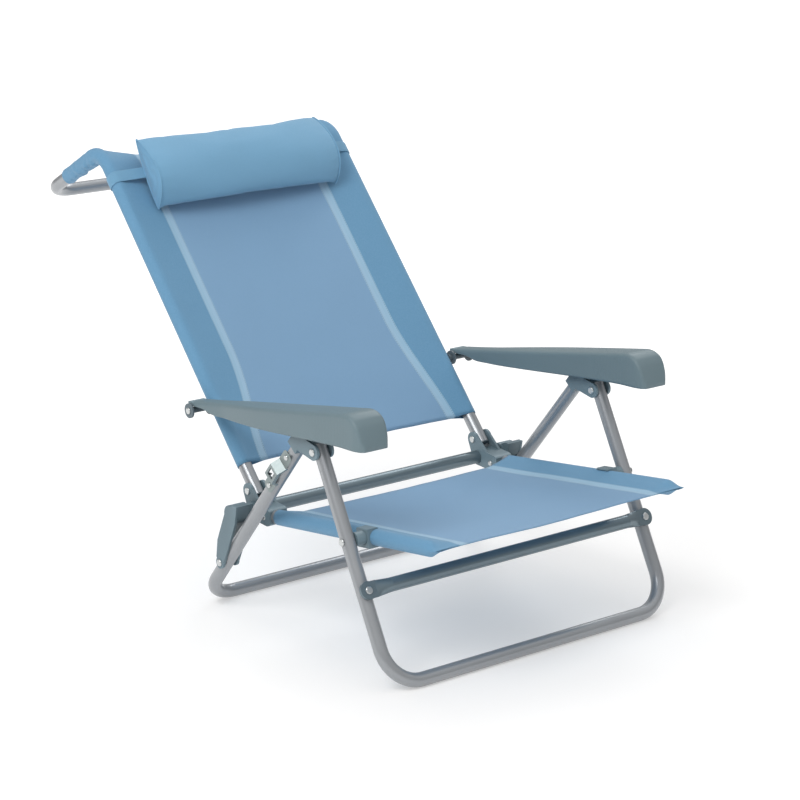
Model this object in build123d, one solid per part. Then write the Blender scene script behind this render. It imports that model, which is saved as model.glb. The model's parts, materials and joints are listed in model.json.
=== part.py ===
from build123d import *
import math
import os

# Folding low beach chair with armrests, a fabric seat and back, and a sliding head pillow.
# Frame: +Z up, the chair faces -Y, +X is the sitter's left. The origin is on the floor,
# under the middle of the front foot bar. Millimetres.

# ---- Driving dimensions -------------------------------------------------------------------
tube_d = 22.0              # every frame tube
tube_wall = 1.2
tube_r = tube_d / 2
leg_x = 280.0              # half width of both leg frames, tube centre
leg_corner_r = 58.0        # bend of the leg frames at the foot bars
seat_x = 236.7             # half width of the seat tubes
back_x = 232.0             # half width of the backrest tube
arm_x = 279.0              # armrest centre at the front

front_foot = (0.0, tube_r)             # (y, z) of the front foot bar
rear_foot = (493.0, tube_r)            # (y, z) of the rear foot bar
leg_hinge = (172.0, 336.0)             # front leg hinge under the armrest
rear_leg_top = (215.0, 344.0)
seat_pivot_drop = 141.0                # leg hinge to seat pivot, along the front leg
link_pivot = (425.4, 92.0)             # rear link on the rear leg
link_top = (401.0, 177.4)              # rear link on the seat's rear crossbar
back_pivot = (413.3, 205.3)            # backrest on the seat brackets
back_angle = 48.1                      # backrest above horizontal, fully reclined
back_length = 650.0                    # pivot to the upper corner
handle_angle = -28.5                   # handle arm below horizontal
handle_length = 207.4                  # upper corner to handle bar
back_bend_r = 45.0
spool_height = 154.3                   # spool above the back pivot, along the tube
spool_lean = 1.3                       # degrees that the spool sits off the tube's own line
recline_range = 20.0                   # degrees from fully reclined to most upright
armrest_tilt = 4.9                     # degrees that the armrest lifts over that range
arm_pivot = (190.0, 366.0)

seat_line_z = 224.5                    # height of the seat tube line over y = 0
seat_slope = -0.137
seat_front_y = -36.0
seat_rear_y = 384.0
crossbar_share = 0.40                  # front crossbar's place along the front leg

rivet_r = 3.0
small_rivet_r = 2.5
running_gap = 0.05                     # radial clearance of a pin in its hole
side_gap = 0.3                         # clearance beside a part that turns
head_r = 6.0
head_h = 2.4
head_round = 1.7
small_head_r = 4.5
bite = 5.0                 # how far a blind rivet goes into its tube, or a cut runs past its part
ear_t = 4.4                            # moulded ears that straddle a tube

# ---- Points and directions worked out from them -----------------------------------------


def polar(start, angle, distance):
    turn = math.radians(angle)
    return (start[0] + distance * math.cos(turn), start[1] + distance * math.sin(turn))


def turned(point, centre, angle):
    turn = math.radians(angle)
    y, z = point[0] - centre[0], point[1] - centre[1]
    return (
        centre[0] + y * math.cos(turn) - z * math.sin(turn),
        centre[1] + y * math.sin(turn) + z * math.cos(turn),
    )


def angle_of(start, end):
    return math.degrees(math.atan2(end[1] - start[1], end[0] - start[0]))


def seat_point(y):
    return (y, seat_line_z + seat_slope * y)


front_leg_angle = angle_of(front_foot, leg_hinge)
rear_leg_angle = angle_of(rear_foot, rear_leg_top)
seat_angle = math.degrees(math.atan(seat_slope))
seat_pivot = polar(leg_hinge, front_leg_angle, -seat_pivot_drop)
back_corner = polar(back_pivot, back_angle, back_length)
handle_corner = polar(back_corner, handle_angle, handle_length)
spool_axis = polar(back_pivot, back_angle + spool_lean, spool_height)
leg_length = math.dist(front_foot, leg_hinge)
crossbar_on_leg = polar(front_foot, front_leg_angle, crossbar_share * leg_length)

# ---- Building blocks --------------------------------------------------------------------


def side_plane(x):
    """A sketch plane at x whose own axes are the chair's Y and Z."""
    return Plane(origin=(x, 0, 0), x_dir=(0, 1, 0), z_dir=(1, 0, 0))


def slab(face, x_low, x_high):
    return extrude(side_plane(x_low) * face, x_high - x_low)


def rod(point, radius, x_low, x_high):
    return slab(Pos(*point) * Circle(radius), x_low, x_high)


def blank(points):
    return make_face(Polyline(*points, close=True))


def disc(point, radius):
    return Pos(*point) * Circle(radius)


def band(start, end, radius):
    """A strip with round ends from one point to another."""
    length = math.dist(start, end)
    middle = ((start[0] + end[0]) / 2, (start[1] + end[1]) / 2)
    straight = Pos(*middle) * Rot(0, 0, angle_of(start, end)) * Rectangle(length, 2 * radius)
    return straight + disc(start, radius) + disc(end, radius)


def ring():
    return Circle(tube_r) - Circle(tube_r - tube_wall)


def bent_tube(points, bend_r):
    """A hollow tube that starts across the X axis and turns with round bends."""
    path = FilletPolyline(*points, radius=bend_r)
    plane = Plane(origin=path @ 0, x_dir=(1, 0, 0), z_dir=path % 0)
    return sweep(plane * ring(), path=path)


def across_plane(point, angle, x=0.0):
    """A sketch plane facing along an angle in the chair's side view."""
    turn = math.radians(angle)
    return Plane(origin=(x, *point), x_dir=(1, 0, 0), z_dir=(0, math.cos(turn), math.sin(turn)))


def mirrored(part):
    return mirror(part, about=Plane.YZ)


def both_sides(part):
    """The part at +X and its mirror image at -X, as a list."""
    return [part, mirrored(part)]


def rivet(point, x_low, x_high, radius=rivet_r, head=head_r):
    """A domed rivet whose shank runs between two faces, with a head outside each."""
    shank = rod(point, radius, x_low, x_high)
    outer = domed_head(point, head, x_high, 1)
    inner = domed_head(point, head, x_low, -1)
    return shank + outer + inner


def domed_head(point, radius, x_face, way):
    """A rivet head on the face at x_face, outwards along X when way is 1."""
    low, high = sorted((x_face, x_face + way * head_h))
    rim = rod(point, radius, low, high).faces().sort_by(Axis.X)[-1 if way > 0 else 0].edges()
    return fillet(rim, head_round)


# ---- Leg frames ---------------------------------------------------------------------------
end_past_hinge = 10.5
plug_flange = 1.5
plug_depth = 6.5
plug_r = tube_r - tube_wall - running_gap
plug_rim_r = tube_r - 0.2


def end_plug(x, end, inward_angle):
    """A plastic plug in a tube's open end."""
    plane = across_plane(end, inward_angle, x).offset(-running_gap)
    return extrude(plane * Circle(plug_rim_r), -plug_flange) + extrude(plane * Circle(plug_r), plug_depth)


front_leg_top = polar(leg_hinge, front_leg_angle, end_past_hinge)
rivet_hole = rivet_r + running_gap
small_hole = small_rivet_r + running_gap
through = leg_x + 40.0


def leg_frame(top, foot):
    corners = [(-leg_x, *top), (-leg_x, *foot), (leg_x, *foot), (leg_x, *top)]
    return bent_tube(corners, leg_corner_r)


def make_front_leg_frame():
    frame = leg_frame(front_leg_top, front_foot)
    for point in (leg_hinge, seat_pivot):
        frame -= rod(point, rivet_hole, -through, through)
    for side in (-1, 1):
        frame -= crossbar_rivet_bore(side * leg_x)
    return frame


def make_rear_leg_frame():
    frame = leg_frame(rear_leg_top, rear_foot)
    frame -= rod(link_pivot, rivet_hole, -through, through)
    for point in opener_rivet_points:
        frame -= rod(point, small_hole, -through, -leg_x)
    return frame


# ---- Front crossbar: a tube with flattened ends riveted to the front of the front legs ----
flat_t = 5.0
flat_r = 14.0
flat_width = 2 * flat_r - 2.0
flat_neck = 26.0           # length of the change from round to flat
flat_gap = 0.1
crossbar_offset = tube_r + flat_gap + flat_t / 2
forward_angle = front_leg_angle + 90.0
crossbar_centre = polar(crossbar_on_leg, forward_angle, crossbar_offset)
forward_dir = across_plane(crossbar_on_leg, forward_angle).z_dir


def crossbar_rivet_bore(x):
    plane = across_plane(crossbar_on_leg, forward_angle, x)
    return extrude(plane * Circle(rivet_hole), tube_r + 2 * flat_t)


def crossbar_end_plane(x, way):
    """A plane across the crossbar at x, with its own X axis out of the legs' front."""
    return Plane(origin=(x, *crossbar_centre), x_dir=forward_dir, z_dir=(way, 0, 0))


def make_front_crossbar():
    round_end = leg_x - flat_r - flat_neck
    bar = extrude(crossbar_end_plane(-round_end, 1) * ring(), 2 * round_end)
    for side in (-1, 1):
        round_face = crossbar_end_plane(side * round_end, side) * Circle(tube_r)
        flat_plane = crossbar_end_plane(side * (round_end + flat_neck), side)
        flat_face = flat_plane * RectangleRounded(flat_t, flat_width, flat_t / 2 - flat_gap)
        bar += loft([round_face, flat_face])
        pad = Circle(flat_r) + Pos(-side * flat_r / 2, 0) * Rectangle(flat_r + 2.0, flat_width)
        pad_plane = across_plane(crossbar_centre, forward_angle, side * leg_x).offset(-flat_t / 2)
        bar += extrude(pad_plane * pad, flat_t)
        bar -= crossbar_rivet_bore(side * leg_x)
    return bar


def make_crossbar_rivet():
    face = tube_r + flat_gap + flat_t + running_gap
    foot = tube_r - tube_wall - bite
    plane = across_plane(crossbar_on_leg, forward_angle, leg_x)
    head = extrude(plane.offset(face) * Circle(head_r), head_h)
    head = fillet(head.faces().sort_by(Axis.Y)[0].edges(), head_round)
    return extrude(plane.offset(foot) * Circle(rivet_r), face - foot) + head


# ---- Hinge bracket at the top of each rear leg ---------------------------------------------
ear_low = leg_x - tube_r - side_gap - ear_t
ear_high = leg_x + tube_r + side_gap + ear_t
ear_inner = leg_x - tube_r - side_gap
ear_outer = leg_x + tube_r + side_gap
turning_r = math.hypot(tube_r, end_past_hinge + plug_flange) + 1.0
socket_depth = 17.0
socket_wall = 1.0
socket_foot = polar(rear_leg_top, rear_leg_angle, -socket_depth)
hinge_ear_r = 12.5
lug_r = 9.0
lug_half = 9.0


def make_hinge_bracket():
    hinge_ear = band(leg_hinge, rear_leg_top, hinge_ear_r)
    socket_profile = band(rear_leg_top, socket_foot, tube_r + socket_wall)
    beyond_foot = Pos(*polar(socket_foot, rear_leg_angle, -socket_depth)) * Rot(0, 0, rear_leg_angle)
    socket_profile -= beyond_foot * Rectangle(2 * socket_depth, 4 * tube_r)
    bracket = slab(hinge_ear, ear_low, ear_inner) + slab(hinge_ear, ear_outer, ear_high)
    bracket += slab(socket_profile, ear_low, ear_high)
    bracket += slab(band(arm_pivot, rear_leg_top, lug_r), arm_x - lug_half, arm_x + lug_half)
    bracket -= slab(disc(leg_hinge, turning_r), ear_inner, ear_outer)
    swing_path = band(leg_hinge, polar(leg_hinge, rear_leg_angle, -90.0), tube_r + 1.0)
    bracket -= slab(swing_path, ear_inner, ear_outer)
    tube_end = polar(rear_leg_top, rear_leg_angle, running_gap)
    bore_plane = across_plane(tube_end, rear_leg_angle + 180.0, leg_x)
    bracket -= extrude(bore_plane * Circle(tube_r + running_gap), 6 * socket_depth)
    for point in (leg_hinge, arm_pivot):
        bracket -= rod(point, rivet_hole, ear_low - bite, ear_high + bite)
    return bracket


# ---- Rear link: moulded fork on the rear leg, turning on the end of the rear crossbar ------
crossbar_end = leg_x + 6.0
link_boss_r = 15.5
link_foot_r = 10.0


def make_rear_link():
    """Two flat cheeks beside the leg, a boss on the crossbar, and a box between the cheeks."""
    tip = polar(link_top, 128.0, 25.0)
    fin = blank([
        polar(link_pivot, 190.0, 9.5),
        polar(link_pivot, 130.0, 36.0),
        polar(link_top, 205.0, 22.0),
        polar(tip, 180.0, 10.0),
        tip,
        polar(link_top, 80.0, 12.0),
        polar(link_top, 0.0, 9.0),
        polar(link_pivot, 82.0, 38.0),
        polar(link_pivot, 40.0, 12.0),
    ])
    fin += disc(link_pivot, link_foot_r)
    fork = slab(fin, ear_low, ear_inner) + slab(fin, ear_outer, ear_high)
    boss = slab(disc(link_top, link_boss_r), ear_low - 2.0, ear_outer)
    cheek = blank([
        tip,
        polar(tip, 180.0, 10.0),
        polar(link_top, 190.0, 20.0),
        polar(link_top, 235.0, 15.0),
        link_top,
    ])
    box = slab(cheek, ear_inner, ear_outer)
    link = fork + boss + box
    leg_above = polar(link_pivot, rear_leg_angle, 160.0)
    leg_below = polar(link_pivot, rear_leg_angle, -60.0)
    leg_space = band(leg_above, leg_below, tube_r + 1.0)
    link -= slab(leg_space, ear_inner, ear_outer)
    link -= rod(link_top, tube_r + running_gap, ear_low - bite, crossbar_end + 1.0)
    link -= rod(link_pivot, rivet_hole, ear_low - bite, ear_high + bite)
    return link


# ---- Seat: two side tubes, rear crossbar, brackets ----------------------------------------
bracket_low = 216.0
bracket_high = seat_x + tube_r + 2.5
back_gap_low = back_x - tube_r - side_gap
back_gap_high = back_x + tube_r + side_gap
bracket_ear_high = back_gap_high + ear_t
bracket_ear_r = 12.5
seat_rivet_point = seat_point(366.0)


def make_seat_tube():
    front = seat_point(seat_front_y)
    rear = seat_point(seat_rear_y)
    side = extrude(across_plane(front, seat_angle, seat_x) * ring(), math.dist(front, rear))
    return side - rod(seat_rivet_point, small_hole, seat_x - 2 * tube_r, seat_x + 2 * tube_r)


def make_rear_crossbar():
    plane = Plane(origin=(-crossbar_end, *link_top), z_dir=(1, 0, 0))
    return extrude(plane * ring(), 2 * crossbar_end)


def make_seat_bracket():
    """Holds the seat tube's end and the crossbar, with two ears for the backrest's foot."""
    front_trim = Pos(*seat_point(348.0)) * Rot(0, 0, seat_angle) * Rectangle(4.0, 60.0)
    body = band(seat_point(360.0), link_top, tube_r + 3.0) - front_trim
    web = blank([
        back_pivot,
        polar(back_pivot, 150.0, bracket_ear_r),
        polar(seat_point(372.0), 90.0, bracket_ear_r),
        seat_point(372.0),
        link_top,
    ])
    ear = band(back_pivot, link_top, bracket_ear_r) + web
    bracket = slab(body, bracket_low, bracket_high)
    bracket += slab(ear, bracket_low, back_gap_low)
    bracket += slab(ear, back_gap_high, bracket_ear_high)
    bracket -= slab(disc(back_pivot, turning_r), back_gap_low, back_gap_high)
    tube_end = seat_point(seat_rear_y + running_gap)
    socket_plane = across_plane(tube_end, seat_angle + 180.0, seat_x)
    bracket -= extrude(socket_plane * Circle(tube_r + running_gap), 80.0)
    bores = [(link_top, tube_r + running_gap), (back_pivot, rivet_hole), (seat_rivet_point, small_hole)]
    for point, radius in bores:
        bracket -= rod(point, radius, bracket_low - bite, bracket_high + bite)
    return bracket


block_length = 28.0
block_half_height = 15.0


def make_seat_pivot_block():
    """A cap over the sleeve and seat tube, where the front leg's bolt holds the seat."""
    start = polar(seat_point(seat_pivot[0]), seat_angle, -block_length / 2)
    room_r = sleeve_out + running_gap
    room = Circle(room_r) + Pos(-room_r, 0) * Rectangle(2 * room_r, 2 * room_r)
    width = block_outer - block_inner
    middle = (block_outer + block_inner) / 2 - seat_x
    outline = Pos(middle, 0) * RectangleRounded(width, 2 * block_half_height, block_round)
    return extrude(across_plane(start, seat_angle, seat_x) * (outline - room), block_length)


# ---- Backrest -----------------------------------------------------------------------------
back_foot = polar(back_pivot, back_angle, -end_past_hinge)


def make_backrest_tube():
    side = [back_foot, back_corner, handle_corner]
    corners = [(-back_x, *point) for point in side] + [(back_x, *point) for point in reversed(side)]
    frame = bent_tube(corners, back_bend_r)
    frame -= rod(back_pivot, rivet_hole, -through, through)
    frame -= rod(spool_axis, rivet_hole, -through, through)
    return frame


spool_inner = 249.0
spool_outer = 290.0
spool_disc_r = 12.0
spool_disc_t = 3.0
spool_hub_r = 5.0
spool_collar_r = 6.0
spool_head_r = 5.5
spool_start = back_x + tube_r + 0.2


def make_spool():
    """A plastic bobbin that the armrest's notches sit on."""
    spool = rod(spool_axis, spool_collar_r, spool_start, spool_inner)
    spool += rod(spool_axis, spool_hub_r, spool_inner, spool_outer)
    spool += rod(spool_axis, spool_disc_r, spool_inner, spool_inner + spool_disc_t)
    spool += rod(spool_axis, spool_disc_r, spool_outer - spool_disc_t, spool_outer)
    spool -= rod(spool_axis, rivet_hole, spool_start - bite, spool_outer + bite)
    return spool


def make_spool_rivets():
    inner = back_x - tube_r - running_gap
    return both_sides(rivet(spool_axis, inner, spool_outer + running_gap, head=spool_head_r))


# ---- Armrest ------------------------------------------------------------------------------
skin = 3.0
arm_half_width = 29.3
arm_front_y = 37.0
arm_end_y = 524.0
arm_rear_low = spool_inner + spool_disc_t + 1.0
arm_rear_high = spool_outer - spool_disc_t - 1.0
spool_upright = turned(
    turned(spool_axis, back_pivot, recline_range), arm_pivot, -armrest_tilt)
rack_angle = angle_of(spool_upright, spool_axis)
tip_gap = 2.0
notch_depth = 4.0
notch_count = 4


def rack_point(distance, height):
    """A point by its distance ahead of the reclined spool and its height over the spool path."""
    start = polar(spool_axis, rack_angle + 180.0, distance)
    return polar(start, rack_angle + 90.0, height)


arm_tip = spool_hub_r + tip_gap
arm_nose = [(3.0, 381.0), (6.0, 391.0), (12.0, 404.0), (20.0, 413.0), (31.0, 418.0), (43.0, 419.6)]
arm_crown_end = 337.5      # height of the straight top line at the armrest's end
arm_underside = [(332.0, 340.0), (232.0, 352.0), (160.0, 360.0), (90.0, 366.5)]
past_underside = 40.0      # the hollow is open below
narrow_from_y = 428.0      # from here back the armrest fits between the spool's discs


def arm_side(inset, drop):
    """The armrest's side view, smaller all round by inset, with its underside lowered by drop."""
    front = arm_front_y + inset
    end = arm_end_y - inset
    rack_front = rack_point(58.0, arm_tip)
    below = [(end, rack_point(-10.0, arm_tip)[1]), rack_front, (rack_front[0] - 6.0, rack_front[1] - bite)]
    below += arm_underside + [(front, 368.5)]
    above = [(front + step, z - inset) for step, z in arm_nose]
    above += [(end - 8.0, arm_crown_end - inset), (end, arm_crown_end - 6.0 - inset)]
    return blank(above + [(y, z - drop) for y, z in below])


def arm_plan(inset):
    """The armrest from above: wide and parallel at the front, narrow over the spool."""
    front = arm_front_y + inset
    end = arm_end_y - inset
    outer = arm_x + arm_half_width - inset
    inner = arm_x - arm_half_width + inset
    outer_rear = arm_rear_high - inset
    inner_rear = arm_rear_low + inset
    return blank([
        (inner + 12.0, front), (outer - 12.0, front), (outer - 4.0, front + 6.0), (outer, front + 18.0),
        (outer, 210.0), (outer - 6.0, 320.0), (outer_rear, narrow_from_y), (outer_rear, end),
        (inner_rear, end), (inner_rear, narrow_from_y), (inner, 400.0), (inner, front + 18.0),
        (inner + 4.0, front + 6.0),
    ])


def arm_block(inset, drop):
    tall = extrude(Plane.XY.offset(280.0) * arm_plan(inset), 160.0)
    return tall & slab(arm_side(inset, drop), arm_x - 60.0, arm_x + 60.0)


def make_rack():
    """Notches between the side walls, for the spool's hub to rest in."""
    pitch = math.dist(spool_axis, spool_upright) / (notch_count - 1)
    root = arm_tip + notch_depth
    outline = [rack_point(-9.0, root + 4.0), rack_point(-9.0, arm_tip)]
    for notch in range(notch_count):
        for offset, height in ((-5.0, arm_tip), (-3.0, root), (3.0, root), (5.0, arm_tip)):
            outline.append(rack_point(notch * pitch + offset, height))
    outline += [rack_point(57.0, arm_tip), rack_point(57.0, root + 4.0)]
    return slab(blank(outline), arm_rear_low + skin - 0.5, arm_rear_high - skin + 0.5)


def make_armrest():
    shell = arm_block(0.0, 0.0)
    arm = shell - arm_block(skin, past_underside)
    arm += make_rack() & shell
    inner = arm_x - arm_half_width
    outer = arm_x + arm_half_width
    arm += slab(disc(arm_pivot, lug_r), inner + skin - 0.5, ear_low - side_gap)
    arm += slab(disc(arm_pivot, lug_r), ear_high + side_gap, outer - skin + 0.5)
    return arm - rod(arm_pivot, rivet_hole, inner + 1.5, outer - 1.5)


def make_armrest_pins():
    half = arm_half_width - 2.0
    return both_sides(rod(arm_pivot, rivet_r, arm_x - half, arm_x + half))


# ---- Bottle opener on the sitter's right rear leg --------------------------------------------
opener_centre = polar(rear_leg_top, rear_leg_angle, -80.0)
opener_half = 36.0
opener_t = 1.6
opener_width = 22.0
opener_rise = 12.0
opener_rivet_points = [polar(opener_centre, rear_leg_angle, side * opener_half) for side in (-1, 1)]
opener_face_x = -(leg_x + tube_r + running_gap)
opener_tab = opener_half + 9.0


def make_opener():
    """A stamped bridge with a window, riveted flat to the leg at both ends."""
    along = across_plane(opener_centre, rear_leg_angle).z_dir
    across = along.cross(Vector(-1, 0, 0))
    profile_plane = Plane(origin=(opener_face_x, *opener_centre), x_dir=along, z_dir=across)
    line = [(-opener_tab, 0), (-22, 0), (-14, opener_rise), (10, opener_rise), (20, 0), (opener_tab, 0)]
    back = [(place, rise + opener_t) for place, rise in reversed(line)]
    plate = extrude(profile_plane * blank(line + back), opener_width / 2, both=True)
    outside = (opener_face_x - 2 * opener_rise, *opener_centre)
    window = Plane(origin=outside, x_dir=along, z_dir=(1, 0, 0)) * (Pos(-2.0, 0) * Rectangle(14.0, 12.0))
    plate -= extrude(window, 2 * opener_rise)
    for point in opener_rivet_points:
        plate -= rod(point, small_hole, opener_face_x - 2 * opener_t, opener_face_x + 1.0)
    return plate


def make_opener_rivets():
    rivets = []
    face = opener_face_x - opener_t - running_gap
    for point in opener_rivet_points:
        shank = rod(point, small_rivet_r, face, -leg_x - tube_r + bite)
        rivets.append(shank + domed_head(point, small_head_r, face, -1))
    return rivets


# ---- Fabric, as plain solids -----------------------------------------------------------------
sleeve_in = tube_r + 0.4
sleeve_out = sleeve_in + 1.3
seam_in = 62.0             # the sleeve's seam, inward from the tube
panel_t = 2.0
block_inner = seat_x - 4.0
block_outer = seat_x + sleeve_out + 3.0
block_round = 2.0


def sling_section(half_width):
    """A fabric panel between two tubes, with a sleeve round each."""
    section = Rectangle(2 * half_width, panel_t)
    for side in (-1, 1):
        tube_at = side * half_width
        seam_at = side * (half_width - seam_in)
        wedge = blank([
            (tube_at, sleeve_out),
            (seam_at, panel_t / 2),
            (seam_at, -panel_t / 2),
            (tube_at, -sleeve_out),
        ])
        section += wedge
        section += Pos(side * half_width, 0) * Circle(sleeve_out)
    for side in (-1, 1):
        section -= Pos(side * half_width, 0) * Circle(sleeve_in)
    return section


seat_fabric_front = -44.0
seat_fabric_rear = 344.0


def make_seat_fabric():
    rear = seat_point(seat_fabric_rear)
    front = seat_point(seat_fabric_front)
    plane = across_plane(rear, seat_angle + 180.0)
    return extrude(plane * sling_section(seat_x), math.dist(rear, front))


back_fabric_start = 44.0
back_fabric_on_arm = 126.0
panel_top_y = 860.0        # the panel ends over the upper bend, and only sleeves go on
sleeve_stub = 4.0


def make_back_fabric():
    start = polar(back_pivot, back_angle, back_fabric_start)
    end = polar(back_corner, handle_angle, back_fabric_on_arm)
    path = FilletPolyline((0, *start), (0, *back_corner), (0, *end), radius=back_bend_r)
    cloth = sweep(across_plane(start, back_angle) * sling_section(back_x), path=path)
    open_half = back_x - sleeve_out - sleeve_stub
    beyond_panel = Plane.XZ.offset(-panel_top_y) * (Pos(0, back_corner[1]) * Rectangle(2 * open_half, 400.0))
    cloth -= extrude(beyond_panel, -300.0)
    for bore in both_sides(rod(spool_axis, spool_collar_r + 1.2, back_x - 18.0, back_x + 18.0)):
        cloth -= bore
    return cloth


# ---- Pillow and its strap ----------------------------------------------------------------------
pillow_half = 186.0
pillow_low = (520.0, 8.0)              # lower seam: up the back, and out from it
pillow_high = (640.0, 30.0)
pillow_front = [(529.0, 29.7), (540.7, 43.5), (561.3, 53.2), (588.7, 52.3), (613.1, 45.1)]
pillow_rear = (581.0, 14.1)
strap_along = 588.0
strap_width = 20.0
strap_t = 1.6
strap_gap = 0.6


def back_point(along, forward):
    return polar(polar(back_pivot, back_angle, along), back_angle + 90.0, forward)


def make_pillow():
    front = Spline(*[back_point(*point) for point in [pillow_low, *pillow_front, pillow_high]])
    rear = ThreePointArc(back_point(*pillow_high), back_point(*pillow_rear), back_point(*pillow_low))
    return slab(make_face(front + rear), -pillow_half, pillow_half)


def make_pillow_strap():
    """An elastic band from one end of the pillow to the other, behind the back."""
    inner = sleeve_out + strap_gap
    outer = inner + strap_t
    plane = across_plane(polar(back_pivot, back_angle, strap_along - strap_width / 2), back_angle)
    loop = SlotOverall(2 * (back_x + outer), 2 * outer) - SlotOverall(2 * (back_x + inner), 2 * inner)
    forward = 1.0 if plane.y_dir.Z > 0 else -1.0
    gap = Pos(0, forward * outer) * Rectangle(2 * pillow_half + 2.0, 2 * inner)
    return extrude(plane * (loop - gap), strap_width)


# ---- Write the parts -----------------------------------------------------------------------
hinge_bracket = make_hinge_bracket()
rear_link = make_rear_link()
seat_tube = make_seat_tube()
seat_bracket = make_seat_bracket()
spool = make_spool()
armrest = make_armrest()
leg_face = leg_x + tube_r + running_gap
spacer = rod(seat_pivot, tube_r, block_outer + side_gap, leg_x - tube_r - running_gap)
spacer -= rod(seat_pivot, rivet_hole, seat_x, leg_x)
pivot_bolt = rod(seat_pivot, rivet_r, block_outer + 2 * side_gap, leg_face)
pivot_bolt += domed_head(seat_pivot, head_r, leg_face, 1)
outside_bracket = bracket_high + running_gap
inside_bracket = bracket_low - running_gap

nodes = {
    "rear_leg_frame": make_rear_leg_frame(),
    "hinge_bracket_left": hinge_bracket,
    "hinge_bracket_right": mirrored(hinge_bracket),
    "leg_hinge_rivets": both_sides(rivet(leg_hinge, ear_low - running_gap, ear_high + running_gap)),
    "link_rivets": both_sides(rivet(link_pivot, ear_low - running_gap, ear_high + running_gap)),
    "bottle_opener": make_opener(),
    "opener_rivets": make_opener_rivets(),
    "front_leg_frame": make_front_leg_frame(),
    "front_leg_plugs": both_sides(end_plug(leg_x, front_leg_top, front_leg_angle + 180.0)),
    "front_crossbar": make_front_crossbar(),
    "crossbar_rivets": both_sides(make_crossbar_rivet()),
    "seat_spacers": both_sides(spacer),
    "seat_pivot_blocks": both_sides(make_seat_pivot_block()),
    "seat_pivot_bolts": both_sides(pivot_bolt),
    "rear_link_left": rear_link,
    "rear_link_right": mirrored(rear_link),
    "seat_tube_left": seat_tube,
    "seat_tube_right": mirrored(seat_tube),
    "rear_crossbar": make_rear_crossbar(),
    "seat_bracket_left": seat_bracket,
    "seat_bracket_right": mirrored(seat_bracket),
    "seat_bracket_rivets": both_sides(
        rivet(seat_rivet_point, inside_bracket, outside_bracket, small_rivet_r, small_head_r)),
    "seat_fabric": make_seat_fabric(),
    "back_pivot_rivets": both_sides(
        rivet(back_pivot, inside_bracket, bracket_ear_high + running_gap)),
    "backrest_tube": make_backrest_tube(),
    "backrest_plugs": both_sides(end_plug(back_x, back_foot, back_angle)),
    "spool_left": spool,
    "spool_right": mirrored(spool),
    "spool_rivets": make_spool_rivets(),
    "back_fabric": make_back_fabric(),
    "armrest_left": armrest,
    "armrest_right": mirrored(armrest),
    "armrest_pins": make_armrest_pins(),
    "pillow": make_pillow(),
    "pillow_strap": make_pillow_strap(),
}

os.makedirs("parts", exist_ok=True)
for name, part in nodes.items():
    shape = Compound(children=part) if isinstance(part, list) else part
    export_step(shape, f"parts/{name}.step")
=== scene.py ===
import bmesh
import bpy
import json
import math
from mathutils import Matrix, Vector, noise


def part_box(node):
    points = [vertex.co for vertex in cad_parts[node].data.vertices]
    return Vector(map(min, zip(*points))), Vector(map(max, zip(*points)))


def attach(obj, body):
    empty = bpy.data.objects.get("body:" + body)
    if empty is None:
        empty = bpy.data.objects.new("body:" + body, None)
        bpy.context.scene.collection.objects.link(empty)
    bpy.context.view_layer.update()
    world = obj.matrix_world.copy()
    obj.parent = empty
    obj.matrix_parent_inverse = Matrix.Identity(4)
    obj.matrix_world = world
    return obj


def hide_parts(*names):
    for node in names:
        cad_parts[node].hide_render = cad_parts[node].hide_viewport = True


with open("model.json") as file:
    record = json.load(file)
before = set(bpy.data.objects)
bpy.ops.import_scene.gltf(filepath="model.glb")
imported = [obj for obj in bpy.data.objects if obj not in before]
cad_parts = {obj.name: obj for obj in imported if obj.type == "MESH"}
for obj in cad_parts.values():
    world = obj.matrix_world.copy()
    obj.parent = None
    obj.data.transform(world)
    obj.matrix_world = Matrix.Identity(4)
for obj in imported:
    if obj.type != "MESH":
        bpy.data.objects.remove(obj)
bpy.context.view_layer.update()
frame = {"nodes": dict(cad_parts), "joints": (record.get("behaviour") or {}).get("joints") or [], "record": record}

# ---- Places taken from the frame -----------------------------------------------------------
joints = {joint["name"]: joint for joint in frame["joints"]}
nodes = frame["nodes"]
MM = 0.001
LEFT, RIGHT = 1, -1

slide_axis = Vector(joints["pillow_slide"]["axis"])
back_up = -slide_axis                                    # up along the backrest
back_front = Vector((0, -back_up.z, back_up.y))          # out of the backrest, towards the sitter
back_pivot = Vector((0, *joints["back_turn"]["pos_m"][1:]))

TUBE_R = 11 * MM
SEAT_SLOPE = math.radians(-7.8)
HANDLE_SLOPE = math.radians(-28.5)
BACK_LENGTH = 650 * MM
BEND_R = 45 * MM

seat_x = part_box("seat_tube_left")[1].x - TUBE_R
back_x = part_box("backrest_tube")[1].x - TUBE_R
seat_back_dir = Vector((0, math.cos(SEAT_SLOPE), math.sin(SEAT_SLOPE)))
seat_up = Vector((0, -math.sin(SEAT_SLOPE), math.cos(SEAT_SLOPE)))
seat_low, seat_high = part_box("seat_tube_left")
nose_y = seat_low.y - TUBE_R * math.sin(SEAT_SLOPE)
nose_z = seat_high.z - TUBE_R * math.cos(SEAT_SLOPE)
seat_nose = Vector((0, nose_y, nose_z))
handle_dir = Vector((0, math.cos(HANDLE_SLOPE), math.sin(HANDLE_SLOPE)))


# ---- Small helpers ---------------------------------------------------------------------------
def add_mesh(name, verts, faces, smooth=True):
    mesh = bpy.data.meshes.new(name)
    mesh.from_pydata([tuple(v) for v in verts], [], faces)
    mesh.validate()
    for polygon in mesh.polygons:
        polygon.use_smooth = smooth
    piece = bpy.data.objects.new(name, mesh)
    bpy.context.scene.collection.objects.link(piece)
    return piece


def set_attribute(piece, name, values):
    attribute = piece.data.attributes.new(name, "FLOAT", "POINT")
    attribute.data.foreach_set("value", values)


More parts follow.
